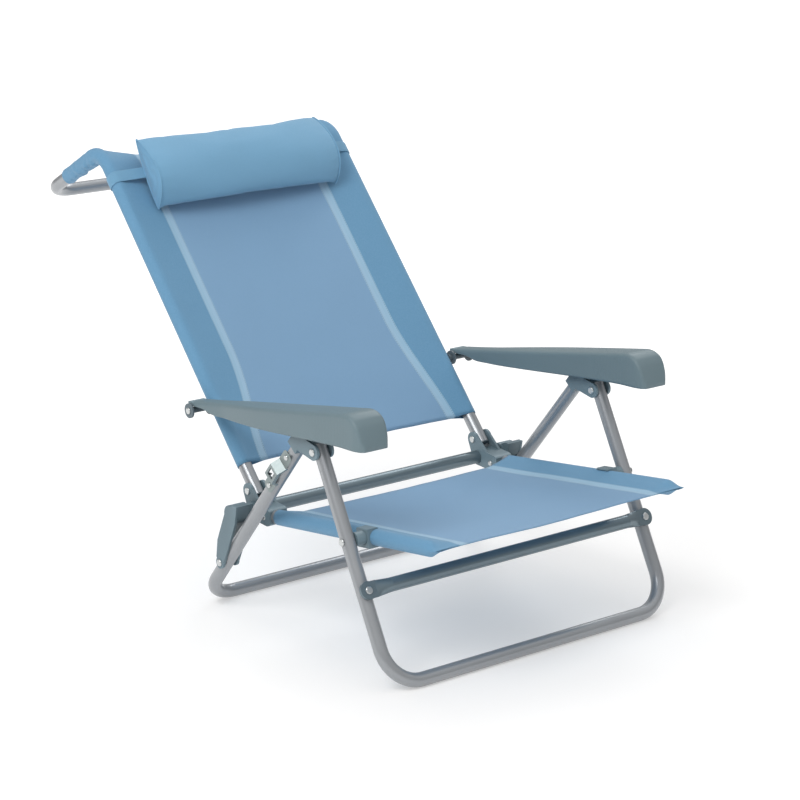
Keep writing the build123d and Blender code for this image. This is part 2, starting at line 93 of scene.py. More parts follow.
def apply_modifiers(piece):
    graph = bpy.context.evaluated_depsgraph_get()
    mesh = bpy.data.meshes.new_from_object(piece.evaluated_get(graph))
    piece.modifiers.clear()
    piece.data = mesh
    return piece


def face_outwards(piece):
    """Makes all the face normals agree, pointing out where the piece is closed."""
    mesh = bmesh.new()
    mesh.from_mesh(piece.data)
    bmesh.ops.recalc_face_normals(mesh, faces=mesh.faces)
    mesh.to_mesh(piece.data)
    mesh.free()


def dress(piece, material, slot, body, *replaced):
    """Gives the piece its material, its body, and the CAD nodes that it replaces. The slot argument is not used.
    """
    piece.data.materials.clear()
    piece.data.materials.append(material)
    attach(piece, body)
    if replaced:
        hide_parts(*replaced)
    return piece


def grid_faces(rows, columns, close_columns=True):
    """Quads over rows of points, each row a loop or an open line."""
    faces = []
    last = columns if close_columns else columns - 1
    for row in range(rows - 1):
        for column in range(last):
            a = row * columns + column
            b = row * columns + (column + 1) % columns
            faces.append((a, b, b + columns, a + columns))
    return faces


def smooth_step(low, high, value):
    share = min(max((value - low) / (high - low), 0.0), 1.0)
    return share * share * (3 - 2 * share)


# ---- Materials ---------------------------------------------------------------------------------
def new_material(name):
    material = bpy.data.materials.new(name)
    material.use_nodes = True
    tree = material.node_tree
    tree.nodes.clear()
    output = tree.nodes.new("ShaderNodeOutputMaterial")
    shader = tree.nodes.new("ShaderNodeBsdfPrincipled")
    tree.links.new(shader.outputs[0], output.inputs[0])
    return material, tree, shader


def math_node(tree, operation, first, second=None, third=None):
    node = tree.nodes.new("ShaderNodeMath")
    node.operation = operation
    for socket, value in zip(node.inputs, (first, second, third)):
        if value is None:
            continue
        if isinstance(value, (int, float)):
            socket.default_value = value
        else:
            tree.links.new(value, socket)
    return node.outputs[0]


def noise_node(tree, scale, detail=3.0, roughness=0.5, vector=None):
    node = tree.nodes.new("ShaderNodeTexNoise")
    node.inputs["Scale"].default_value = scale
    node.inputs["Detail"].default_value = detail
    node.inputs["Roughness"].default_value = roughness
    if vector is None:
        vector = tree.nodes.new("ShaderNodeTexCoord").outputs["Object"]
    tree.links.new(vector, node.inputs["Vector"])
    return node.outputs["Fac"]


def mix_colour(tree, share, first, second):
    node = tree.nodes.new("ShaderNodeMix")
    node.data_type = "RGBA"
    for label, value in (("Factor", share), ("A", first), ("B", second)):
        socket = node.inputs[label]
        if isinstance(value, (int, float)):
            socket.default_value = value
        elif isinstance(value, tuple):
            socket.default_value = (*value, 1.0)
        else:
            tree.links.new(value, socket)
    return node.outputs["Result"]


def add_bump(tree, shader, height, distance, strength=1.0, before=None):
    node = tree.nodes.new("ShaderNodeBump")
    node.inputs["Distance"].default_value = distance
    node.inputs["Strength"].default_value = strength
    tree.links.new(height, node.inputs["Height"])
    if before is not None:
        tree.links.new(before, node.inputs["Normal"])
    tree.links.new(node.outputs[0], shader.inputs["Normal"])
    return node.outputs[0]


FLAT_POINTINESS = 0.52                # reading of a face with no edge nearby
WEAR_GAIN = 6.0


def edge_wear(tree):
    """Rises on sharp outer edges."""
    point = tree.nodes.new("ShaderNodeNewGeometry").outputs["Pointiness"]
    return math_node(tree, "MULTIPLY", math_node(tree, "SUBTRACT", point, FLAT_POINTINESS), WEAR_GAIN)


def range_of(tree, value, low, high):
    node = tree.nodes.new("ShaderNodeMapRange")
    node.inputs["To Min"].default_value = low
    node.inputs["To Max"].default_value = high
    tree.links.new(value, node.inputs["Value"])
    return node.outputs[0]


def paint_material(name, colour, shade):
    """Satin powder coat over tube: fine orange peel, soft cloudiness and light rub marks."""
    material, tree, shader = new_material(name)
    clouds = noise_node(tree, 14.0, 4.0)
    tree.links.new(mix_colour(tree, clouds, shade, colour), shader.inputs["Base Color"])
    rubs = noise_node(tree, 260.0, 5.0, 0.7)
    tree.links.new(range_of(tree, rubs, 0.24, 0.44), shader.inputs["Roughness"])
    shader.inputs["Metallic"].default_value = 0.55
    shader.inputs["Coat Weight"].default_value = 0.25
    shader.inputs["Coat Roughness"].default_value = 0.18
    add_bump(tree, shader, noise_node(tree, 1500.0, 2.0), 0.00006, 0.5)
    return material


GROOVE_PITCH = 7.5 * MM
GROOVE_SHARE = 0.86                   # the wave is a groove above this height
GROOVES_FROM, GROOVES_TO = 72 * MM, 155 * MM


def plastic_material(name, colour, shade, grooved=False):
    """Spark-eroded moulded plastic: fine grain, lighter worn edges."""
    material, tree, shader = new_material(name)
    clouds = noise_node(tree, 9.0, 3.0)
    body = mix_colour(tree, clouds, shade, colour)
    worn = mix_colour(tree, edge_wear(tree), body, tuple(min(1.0, c * 1.35) for c in colour))
    tree.links.new(worn, shader.inputs["Base Color"])
    tree.links.new(range_of(tree, noise_node(tree, 420.0, 3.0), 0.38, 0.52), shader.inputs["Roughness"])
    shader.inputs["Specular IOR Level"].default_value = 0.42
    grain = add_bump(tree, shader, noise_node(tree, 2600.0, 2.0), 0.00008, 0.6)
    if grooved:
        place = tree.nodes.new("ShaderNodeSeparateXYZ")
        tree.links.new(tree.nodes.new("ShaderNodeTexCoord").outputs["Object"], place.inputs[0])
        across = math_node(tree, "ADD", math_node(tree, "ABSOLUTE", place.outputs["X"]), place.outputs["Y"])
        wave = math_node(tree, "SINE", math_node(tree, "MULTIPLY", across, 2 * math.pi / GROOVE_PITCH))
        line = math_node(tree, "GREATER_THAN", wave, GROOVE_SHARE)
        near = math_node(tree, "LESS_THAN", place.outputs["Y"], GROOVES_TO)
        far = math_node(tree, "GREATER_THAN", place.outputs["Y"], GROOVES_FROM)
        groove = math_node(tree, "MULTIPLY", math_node(tree, "MULTIPLY", line, near), far)
        add_bump(tree, shader, math_node(tree, "MULTIPLY", groove, -1.0), 0.0004, 0.7, grain)
    return material


def steel_material(name, colour, roughness=0.24):
    """Zinc-plated steel: faint crystal mottling and small scratches."""
    material, tree, shader = new_material(name)
    spangle = tree.nodes.new("ShaderNodeTexVoronoi")
    spangle.inputs["Scale"].default_value = 190.0
    tree.links.new(tree.nodes.new("ShaderNodeTexCoord").outputs["Object"], spangle.inputs["Vector"])
    tint = mix_colour(tree, spangle.outputs["Distance"], colour, tuple(c * 0.92 for c in colour))
    tree.links.new(tint, shader.inputs["Base Color"])
    shader.inputs["Metallic"].default_value = 1.0
    scratches = noise_node(tree, 700.0, 6.0, 0.75)
    tree.links.new(range_of(tree, scratches, roughness, roughness + 0.2), shader.inputs["Roughness"])
    add_bump(tree, shader, scratches, 0.00005, 0.5)
    return material


def weave_height(tree, first, second, pitch):
    """Over-and-under plain weave from two directions along the cloth."""
    turns = 2 * math.pi / pitch
    warp = math_node(tree, "SINE", math_node(tree, "MULTIPLY", first, turns))
    weft = math_node(tree, "SINE", math_node(tree, "MULTIPLY", second, turns))
    return math_node(tree, "MULTIPLY", warp, weft)


def attribute_node(tree, name):
    node = tree.nodes.new("ShaderNodeAttribute")
    node.attribute_name = name
    return node.outputs["Fac"]


SEAM_BAND = 17 * MM
STITCH_PITCH = 4 * MM
PANEL_GLOW = 0.06                     # share of light that comes through the single cloth


def sling_material(name, panel, double, stripe):
    """Coated mesh cloth. Attributes along and across run over the sheet; across is 0 on the seam,
    negative over the middle panel and positive over the doubled sleeve."""
    material, tree, shader = new_material(name)
    across = attribute_node(tree, "across")
    along = attribute_node(tree, "along")
    side = attribute_node(tree, "side")
    on_sleeve = math_node(tree, "GREATER_THAN", across, 0.0)
    in_band = math_node(tree, "LESS_THAN", math_node(tree, "ABSOLUTE", across), SEAM_BAND / 2)
    clouds = noise_node(tree, 7.0, 3.0)
    fleck = noise_node(tree, 400.0, 3.0, 0.65)
    panel_tone = mix_colour(tree, clouds, panel, tuple(c * 1.08 for c in panel))
    sleeve_tone = mix_colour(tree, clouds, double, tuple(c * 1.12 for c in double))
    cloth = mix_colour(tree, on_sleeve, panel_tone, sleeve_tone)
    cloth = mix_colour(tree, math_node(tree, "MULTIPLY", in_band, 0.65), cloth, stripe)
    weave = weave_height(tree, side, along, 2.4 * MM)
    threads = mix_colour(tree, range_of(tree, weave, 0.0, 0.22), cloth, tuple(c * 0.72 for c in double))
    light_fleck = tuple(min(1, c * 1.25) for c in panel)
    cloth = mix_colour(tree, math_node(tree, "MULTIPLY", fleck, 0.35), threads, light_fleck)
    edge = math_node(tree, "ABSOLUTE", math_node(tree, "SUBTRACT",
                     math_node(tree, "ABSOLUTE", across), SEAM_BAND / 2 - 1.2 * MM))
    on_line = math_node(tree, "LESS_THAN", edge, 0.5 * MM)
    dashes = math_node(tree, "SINE", math_node(tree, "MULTIPLY", along, 2 * math.pi / STITCH_PITCH))
    stitch = math_node(tree, "MULTIPLY", on_line, math_node(tree, "GREATER_THAN", dashes, -0.4))
    cloth = mix_colour(tree, math_node(tree, "MULTIPLY", stitch, 0.5), cloth, tuple(c * 0.55 for c in double))
    tree.links.new(cloth, shader.inputs["Base Color"])
    shader.inputs["Roughness"].default_value = 0.62
    shader.inputs["Sheen Weight"].default_value = 0.12
    shader.inputs["Specular IOR Level"].default_value = 0.35
    woven = add_bump(tree, shader, weave, 0.00022, 0.8)
    add_bump(tree, shader, stitch, 0.0005, 0.8, woven)
    translucent = tree.nodes.new("ShaderNodeBsdfTranslucent")
    tree.links.new(cloth, translucent.inputs["Color"])
    blend = tree.nodes.new("ShaderNodeMixShader")
    on_panel = math_node(tree, "SUBTRACT", 1.0, on_sleeve)
    tree.links.new(math_node(tree, "MULTIPLY", on_panel, PANEL_GLOW), blend.inputs[0])
    tree.links.new(shader.outputs[0], blend.inputs[1])
    tree.links.new(translucent.outputs[0], blend.inputs[2])
    output = [node for node in tree.nodes if node.type == "OUTPUT_MATERIAL"][0]
    tree.links.new(blend.outputs[0], output.inputs[0])
    return material


def woven_material(name, colour, shade, pitch, lean=0.0):
    """Plain woven cloth whose threads follow the object's own axes, tilted by lean about X."""
    material, tree, shader = new_material(name)
    mapping = tree.nodes.new("ShaderNodeMapping")
    mapping.inputs["Rotation"].default_value[0] = lean
    tree.links.new(tree.nodes.new("ShaderNodeTexCoord").outputs["Object"], mapping.inputs[0])
    axes = tree.nodes.new("ShaderNodeSeparateXYZ")
    tree.links.new(mapping.outputs[0], axes.inputs[0])
    weave = weave_height(tree, axes.outputs["X"],
                         math_node(tree, "ADD", axes.outputs["Y"], axes.outputs["Z"]), pitch)
    clouds = noise_node(tree, 16.0, 4.0)
    fleck = noise_node(tree, 430.0, 3.0, 0.65)
    tone = mix_colour(tree, clouds, shade, colour)
    tone = mix_colour(tree, range_of(tree, weave, 0.0, 0.2), tone, tuple(c * 0.7 for c in shade))
    light_fleck = tuple(min(1, c * 1.25) for c in colour)
    tone = mix_colour(tree, math_node(tree, "MULTIPLY", fleck, 0.3), tone, light_fleck)
    tree.links.new(tone, shader.inputs["Base Color"])
    shader.inputs["Roughness"].default_value = 0.8
    shader.inputs["Sheen Weight"].default_value = 0.2
    woven = add_bump(tree, shader, weave, 0.00025, 0.8)
    add_bump(tree, shader, noise_node(tree, 55.0, 3.0), 0.0008, 0.35, woven)
    return material


FRAME_GREY = (0.36, 0.375, 0.39)
FRAME_SHADE = (0.31, 0.325, 0.345)
BAR_GREY = (0.16, 0.216, 0.248)
PLASTIC = (0.14, 0.20, 0.225)
BRACKET = (0.125, 0.18, 0.21)
CLOTH_PANEL = (0.193, 0.344, 0.518)
CLOTH_DOUBLE = (0.095, 0.25, 0.40)
CLOTH_STRIPE = (0.44, 0.64, 0.77)
PILLOW = (0.165, 0.366, 0.55)

frame_paint = paint_material("frame_paint", FRAME_GREY, FRAME_SHADE)
crossbar_paint = paint_material("crossbar_paint", BAR_GREY, tuple(c * 0.85 for c in BAR_GREY))
armrest_plastic = plastic_material("armrest_plastic", PLASTIC, tuple(c * 0.93 for c in PLASTIC), grooved=True)
bracket_plastic = plastic_material("bracket_plastic", BRACKET, tuple(c * 0.85 for c in BRACKET))
plug_plastic = plastic_material("plug_plastic", (0.09, 0.12, 0.14), (0.07, 0.09, 0.10))
rivet_steel = steel_material("rivet_steel", (0.62, 0.64, 0.64))
zinc_plate = steel_material("zinc_plate", (0.34, 0.39, 0.39), 0.42)
seat_cloth = sling_material("seat_cloth", CLOTH_PANEL, CLOTH_DOUBLE, CLOTH_STRIPE)
back_cloth = sling_material("back_cloth", CLOTH_PANEL, CLOTH_DOUBLE, CLOTH_STRIPE)
back_lean = -math.atan2(back_up.z, back_up.y)
pillow_cloth = woven_material("pillow_cloth", PILLOW, tuple(c * 0.9 for c in PILLOW), 2.2 * MM, back_lean)
strap_colour, strap_shade = [tuple(c * share for c in PILLOW) for share in (0.9, 0.8)]
strap_cloth = woven_material("strap_cloth", strap_colour, strap_shade, 3.0 * MM, back_lean)

CAD_LOOKS = {
    "frame_paint": frame_paint, "crossbar_paint": crossbar_paint, "bracket_plastic": bracket_plastic,
    "armrest_plastic": armrest_plastic, "plug_plastic": plug_plastic, "rivet_steel": rivet_steel,
    "zinc_plate": zinc_plate, "seat_cloth": seat_cloth, "back_cloth": back_cloth,
    "pillow_cloth": pillow_cloth, "strap_cloth": strap_cloth,
}
for entry in frame["record"]["subparts"]:
    node = nodes[entry["node"]]
    node.data.materials.clear()
    node.data.materials.append(CAD_LOOKS[entry["material_slot"]])


# ---- Slings: cloth stretched between two tubes -------------------------------------------------
SLEEVE_R = 12.5 * MM
CLOTH_T = 0.9 * MM
PANEL_HALF = 0.95 * MM
ARC_STEPS = 12
WEDGE_STEPS = 8
PANEL_STEPS = 34


def sling_section(half_width, seam_in, sag, height):
    """One closed loop of (x, forward, across) round both sleeves and over both faces of the panel."""
    seam_x = half_width - seam_in

    def face(side_of_panel):
        rim = height * side_of_panel
        run = []
        for step in range(WEDGE_STEPS):
            share = step / WEDGE_STEPS
            bow = rim + (PANEL_HALF * side_of_panel - rim) * share
            run.append((-half_width + seam_in * share, bow * (1 - 0.10 * math.sin(math.pi * share))))
        for step in range(PANEL_STEPS + 1):
            run.append((-seam_x + 2 * seam_x * step / PANEL_STEPS, PANEL_HALF * side_of_panel))
        for step in range(1, WEDGE_STEPS + 1):
            share = 1 - step / WEDGE_STEPS
            bow = rim + (PANEL_HALF * side_of_panel - rim) * share
            run.append((half_width - seam_in * share, bow * (1 - 0.10 * math.sin(math.pi * share))))
        return run

    loop = face(1)
    for step in range(1, ARC_STEPS):
        turn = math.pi / 2 - math.pi * step / ARC_STEPS
        loop.append((half_width + SLEEVE_R * math.cos(turn), height * math.sin(turn)))
    loop += list(reversed(face(-1)))
    for step in range(1, ARC_STEPS):
        turn = -math.pi / 2 - math.pi * step / ARC_STEPS
        loop.append((-half_width + SLEEVE_R * math.cos(turn), height * math.sin(turn)))
    result = []
    for x, forward in loop:
        middle = max(0.0, 1 - (x / half_width) ** 2)
        result.append((x, forward - sag * middle * middle, abs(x) - seam_x))
    return result


def build_sling(name, stations, half_width, sag, wrinkle):
    """Stations are (origin, forward, along, seam_in, shift, height) down the cloth."""
    verts, along_values, across_values, side_values = [], [], [], []
    columns = 0
    for origin, forward, along, seam, edge_shift, height in stations:
        section = sling_section(half_width, seam, sag * min(1.0, along / 0.15 + 0.3), height)
        columns = len(section)
        for x, out, across in section:
            middle = max(0.0, 1 - (x / half_width) ** 2)
            place = origin + forward * out + Vector((x, 0, 0)) + edge_shift * middle
            ripple = wrinkle(x, along)
            verts.append(place + forward * ripple)
            along_values.append(along)
            across_values.append(across)
            side_values.append(x)
    sheet = add_mesh(name, verts, grid_faces(len(stations), columns))
    set_attribute(sheet, "along", along_values)
    set_attribute(sheet, "across", across_values)
    set_attribute(sheet, "side", side_values)
    thicken(sheet, CLOTH_T)
    return sheet


def thicken(sheet, thickness):
    """Gives the sheet its thickness on the inner side of its outward normals."""
    face_outwards(sheet)
    solid = sheet.modifiers.new("thickness", "SOLIDIFY")
    solid.thickness = thickness
    solid.offset = -1.0
    solid.use_even_offset = True
    apply_modifiers(sheet)


BACK_HEM = 44 * MM
BACK_ROWS, BEND_ROWS = 74, 10
BACK_SEAM_LOW, BACK_SEAM_HIGH = 38, 68    # the sleeve's width at the hem and above it, in mm
BACK_SAG = 7 * MM
HEM_LIFT = 5 * MM
RIDGE_DROOP = 7 * MM
BEND_TURN = math.atan2(back_up.z, back_up.y) - HANDLE_SLOPE
BEND_CUT = BEND_R * math.tan(BEND_TURN / 2)
RIDGE_SHARE = 0.56                    # part of the bend that the cloth's top edge covers
corner = back_pivot + back_up * BACK_LENGTH
bend_start = corner - back_up * BEND_CUT
bend_centre = bend_start - back_front * BEND_R


def bend_station(share):
    """Origin, outward direction and length along the cloth at a share of the bend."""
    turn = BEND_TURN * share
    outward = back_front * math.cos(turn) + back_up * math.sin(turn)
    return bend_centre + outward * BEND_R, outward, BACK_LENGTH - BEND_CUT + BEND_R * turn


def back_wrinkle(x, along):
    broad = noise.noise(Vector((x * 7, along * 6, 3.1))) * 1.5 * MM
    pull = noise.noise(Vector((x * 30, along * 5, 8.2))) * 0.45 * MM
    near_hem = smooth_step(0.10, 0.04, along) if along < 0.1 else 0.0
    gather = math.sin(x * 95) * 0.35 * MM * near_hem
    return (broad + pull) * max(0.0, 1 - (abs(x) / back_x) ** 4) + gather


def build_back_cloth():
    stations = []
    length = BACK_LENGTH - BEND_CUT
    for row in range(BACK_ROWS + 1):
        along = BACK_HEM + (length - BACK_HEM) * row / BACK_ROWS
        seam = (BACK_SEAM_LOW + (BACK_SEAM_HIGH - BACK_SEAM_LOW) * smooth_step(0.03, 0.25, along)) * MM
        lift = back_up * (HEM_LIFT * smooth_step(0.12, 0.04, along)) if along < 0.12 else Vector()
        stations.append((back_pivot + back_up * along, back_front, along, seam, lift, SLEEVE_R))
    for row in range(1, BEND_ROWS + 1):
        origin, outward, along = bend_station(RIDGE_SHARE * row / BEND_ROWS)
        droop = -back_up * (RIDGE_DROOP * (row / BEND_ROWS) ** 2)
        stations.append((origin, outward, along, BACK_SEAM_HIGH * MM, droop, SLEEVE_R))
    return build_sling("back_cloth", stations, back_x, BACK_SAG, back_wrinkle)


ARM_SLEEVE_ROWS, ARM_SLEEVE_RING = 60, 28
ARM_SLEEVE_END = 126 * MM             # from the upper corner, down the handle arm
SLEEVE_UNDER_RIDGE = 0.22             # part of the bend where the sleeve starts beneath the back cloth


def build_arm_sleeve(side):
    """The sleeve goes on alone round the bend and part of the way down the handle arm."""
    rows, ring = ARM_SLEEVE_ROWS, ARM_SLEEVE_RING
    arm_length = ARM_SLEEVE_END - BEND_CUT
    start_share = RIDGE_SHARE - SLEEVE_UNDER_RIDGE
    bend_length = BEND_R * BEND_TURN * (1 - start_share)
    verts, along_values = [], []
    for row in range(rows + 1):
        travel = (bend_length + arm_length) * row / rows
        if travel < bend_length:
            origin, outward, _ = bend_station(start_share + (1 - start_share) * travel / bend_length)
        else:
            origin, outward, _ = bend_station(1.0)
            origin = origin + handle_dir * (travel - bend_length)
        across = Vector((1, 0, 0))
        bunch = smooth_step(0.0, 0.3, row / rows) * (1 - 0.6 * smooth_step(0.6, 1.0, row / rows))
        for step in range(ring):
            turn = 2 * math.pi * step / ring
            direction = across * math.cos(turn) + outward * math.sin(turn)
            inner_side = 0.35 + 0.65 * max(0.0, -math.sin(turn))
            fold = noise.noise(Vector((math.cos(turn) * 1.1, math.sin(turn) * 1.1, travel * 62 + side * 9)))
            crease = abs(fold) ** 0.8 * 5.5 * MM * bunch * inner_side
            flare = 0.5 * MM * smooth_step(0.9, 1.0, row / rows)
            radius = SLEEVE_R - 0.15 * MM + crease + 0.8 * MM * bunch + flare
            verts.append(origin + Vector((side * back_x, 0, 0)) + direction * radius)
            along_values.append(travel)
    sheet = add_mesh("handle_sleeve_" + ("left" if side > 0 else "right"), verts, grid_faces(rows + 1, ring))
    set_attribute(sheet, "along", along_values)
    set_attribute(sheet, "across", [0.03] * len(verts))
    set_attribute(sheet, "side", [v.x for v in verts])
    thicken(sheet, CLOTH_T)
    return sheet


SEAT_TO_NOSE = 0.3835                 # rear hem to the seat tubes' front ends
SEAT_TIP = 0.024                      # flat sewn ends past the tubes
SEAT_ROWS, SEAT_TIP_ROWS = 58, 9
SEAT_SEAM = 46 * MM
SEAT_SAG = 6 * MM
SEAT_FRONT_PULL = 16 * MM             # how far the front hem curves back at its middle


def seat_wrinkle(x, along):
    broad = noise.noise(Vector((x * 6, along * 7, 5.7))) * 1.8 * MM
    fine = noise.noise(Vector((x * 22, along * 26, 1.4))) * 0.5 * MM
    return (broad + fine) * max(0.0, 1 - (abs(x) / seat_x) ** 4)


def build_seat_cloth():
    rear = seat_nose + seat_back_dir * SEAT_TO_NOSE
    stations = []
    lengths = [SEAT_TO_NOSE * row / SEAT_ROWS + 0.002 for row in range(SEAT_ROWS + 1)]
    lengths += [lengths[-1] + SEAT_TIP * row / SEAT_TIP_ROWS for row in range(1, SEAT_TIP_ROWS + 1)]
    for along in lengths:
        pull = smooth_step(0.3, SEAT_TO_NOSE + SEAT_TIP, along)
        shift = seat_back_dir * (SEAT_FRONT_PULL * pull * pull)
        flat = smooth_step(SEAT_TO_NOSE + 0.001, SEAT_TO_NOSE + SEAT_TIP, along)
        height = SLEEVE_R + (1.6 * MM - SLEEVE_R) * flat
        stations.append((rear - seat_back_dir * along, seat_up, along, SEAT_SEAM, shift, height))
    return build_sling("seat_cloth", stations, seat_x, SEAT_SAG, seat_wrinkle)


dress(build_back_cloth(), back_cloth, "back_cloth", "backrest", "back_fabric")
for side in (RIGHT, LEFT):
    dress(build_arm_sleeve(side), back_cloth, "back_cloth", "backrest")
dress(build_seat_cloth(), seat_cloth, "seat_cloth", "seat", "seat_fabric")


# ---- Pillow --------------------------------------------------------------------------------------
PILLOW_HALF = 184 * MM
PILLOW_LOW = (520 * MM, 8 * MM)           # lower point of the end panel: up the back, out of the back
PILLOW_HIGH = (643 * MM, 31 * MM)
PILLOW_BULGE = 37 * MM
PILLOW_HOLLOW = 5 * MM
PILLOW_RING, PILLOW_ROWS, PILLOW_CAPS = 64, 70, 7
PUFF_PRESSURE = 2.0
PUFF_CAP = 7 * MM
CLOTH_FRAMES = 20


def back_place(x, up, out):
    return back_pivot + back_up * up + back_front * out + Vector((x, 0, 0))


def lens_outline(count):
    """Points round the almond-shaped end panel, in (up, out)."""
    points = []
    chord = (PILLOW_HIGH[0] - PILLOW_LOW[0], PILLOW_HIGH[1] - PILLOW_LOW[1])
    length = math.hypot(*chord)
    normal = (-chord[1] / length, chord[0] / length)
    for step in range(count):
        turn = step / count
        share = (1 - math.cos(2 * math.pi * turn)) / 2
        front = turn < 0.5
        height = math.sin(math.pi * share) ** 0.8 * (PILLOW_BULGE if front else -PILLOW_HOLLOW)
        skew = 0.10 * math.sin(math.pi * share) * (-1 if front else 0)
        points.append((PILLOW_LOW[0] + chord[0] * (share + skew) + normal[0] * height,
                       PILLOW_LOW[1] + chord[1] * (share + skew) + normal[1] * height))
    return points


def build_pillow():
    """A bolster with two flat end panels, its body rows first, from the sitter's right."""
    ring, rows, caps = PILLOW_RING, PILLOW_ROWS, PILLOW_CAPS
    outline = lens_outline(ring)
    centre = ((PILLOW_LOW[0] + PILLOW_HIGH[0]) / 2 + 2 * MM, (PILLOW_LOW[1] + PILLOW_HIGH[1]) / 2 + 14 * MM)
    verts = []
    for row in range(rows + 1):
        x = -PILLOW_HALF + 2 * PILLOW_HALF * row / rows
        verts += [back_place(x, *point) for point in outline]
    faces = grid_faces(rows + 1, ring)
    for end, first_row in ((-1, 0), (1, rows)):
        previous = [first_row * ring + step for step in range(ring)]
        for cap in range(1, caps):
            share = 1 - cap / caps
            start = len(verts)
            for up, out in outline:
                verts.append(back_place(end * (PILLOW_HALF + 3 * MM * (1 - share ** 2)),
                                        centre[0] + (up - centre[0]) * share,
                                        centre[1] + (out - centre[1]) * share))
            current = [start + step for step in range(ring)]
            for step in range(ring):
                after = (step + 1) % ring
                faces.append((previous[step], previous[after], current[after], current[step]))
            previous = current
        faces.append(tuple(previous))
    piece = add_mesh("pillow_cover", verts, faces)
    face_outwards(piece)
    return piece


def puff(piece, pressure, cap):
    """Blows the cover up with the cloth solver, then limits how far each point may have moved."""
    rest = [vertex.co.copy() for vertex in piece.data.vertices]
    cloth = piece.modifiers.new("cloth", "CLOTH")
    settings = cloth.settings
    settings.quality = 6
    settings.mass = 0.25
    settings.tension_stiffness = 22
    settings.compression_stiffness = 22
    settings.shear_stiffness = 12
    settings.bending_stiffness = 0.25
    settings.use_pressure = True
    settings.uniform_pressure_force = pressure
    settings.effector_weights.gravity = 0.0
    cloth.collision_settings.use_collision = False
    cloth.point_cache.frame_start = 1
    cloth.point_cache.frame_end = CLOTH_FRAMES
    scene = bpy.context.scene
    for step in range(1, CLOTH_FRAMES + 1):
        scene.frame_set(step)
    apply_modifiers(piece)
    for vertex, start in zip(piece.data.vertices, rest):
        move = vertex.co - start
        if move.length > cap:
            vertex.co = start + move * (cap / move.length)
    scene.frame_set(1)


def pucker(piece, ring, rows):
    """Small gathers where the body is sewn to its end panels, and soft dents along its length."""
    axis_up = (PILLOW_LOW[0] + PILLOW_HIGH[0]) / 2
    axis_out = (PILLOW_LOW[1] + PILLOW_HIGH[1]) / 2 + 10 * MM
    centre = back_place(0, axis_up, axis_out)
    for row in range(1, rows):
        for step in range(ring):
            vertex = piece.data.vertices[row * ring + step]
            radial = Vector((0, vertex.co.y - centre.y, vertex.co.z - centre.z))
            radial.normalize()
            edge = PILLOW_HALF - abs(vertex.co.x)
            end = math.copysign(1, vertex.co.x)
            gather = math.exp(-edge / (13 * MM)) * math.sin(step * 1.9 + end) * 0.9 * MM
            swell = 2.6 * MM * (1 - math.exp(-edge / (16 * MM)))
            dent = noise.noise(Vector((vertex.co.x * 11, vertex.co.y * 16, vertex.co.z * 16))) * 2.0 * MM
            out = (vertex.co - back_pivot).dot(back_front)
            free = smooth_step(10 * MM, 26 * MM, out)
            vertex.co += radial * (gather + swell + dent * smooth_step(0, 30 * MM, edge)) * free


def build_piping(piece, ring, row, name):
    """A thin sewn cord along one end seam."""
    cord_r, sides = 1.5 * MM, 8
    loop = [piece.data.vertices[row * ring + step].co.copy() for step in range(ring)]
    outward = 1 if row else -1
    verts = []
    for step, point in enumerate(loop):
        ahead = loop[(step + 1) % ring] - loop[step - 1]
        ahead.normalize()
        side = Vector((outward, 0, 0))
        radial = ahead.cross(side)
        for turn_step in range(sides):
            turn = 2 * math.pi * turn_step / sides
            verts.append(point + side * (cord_r * math.cos(turn)) + radial * (cord_r * math.sin(turn)))
    faces = []
    for step in range(ring):
        for turn_step in range(sides):
            a = step * sides + turn_step
            b = step * sides + (turn_step + 1) % sides
            c = ((step + 1) % ring) * sides + (turn_step + 1) % sides
            d = ((step + 1) % ring) * sides + turn_step
            faces.append((a, b, c, d))
    return add_mesh(name, verts, faces)


pillow = build_pillow()
puff(pillow, PUFF_PRESSURE, PUFF_CAP)
pucker(pillow, PILLOW_RING, PILLOW_ROWS)
piping = [build_piping(pillow, PILLOW_RING, row, name)
          for row, name in ((0, "pillow_piping_right"), (PILLOW_ROWS, "pillow_piping_left"))]
smooth = pillow.modifiers.new("smooth", "SUBSURF")
smooth.levels = smooth.render_levels = 1
apply_modifiers(pillow)
dress(pillow, pillow_cloth, "pillow_cloth", "pillow", "pillow")
for cord in piping:
    dress(cord, pillow_cloth, "pillow_cloth", "pillow")


# ---- Pillow strap ------------------------------------------------------------------------------
STRAP_ALONG = 588 * MM
STRAP_W = 21 * MM
STRAP_T = 1.3 * MM


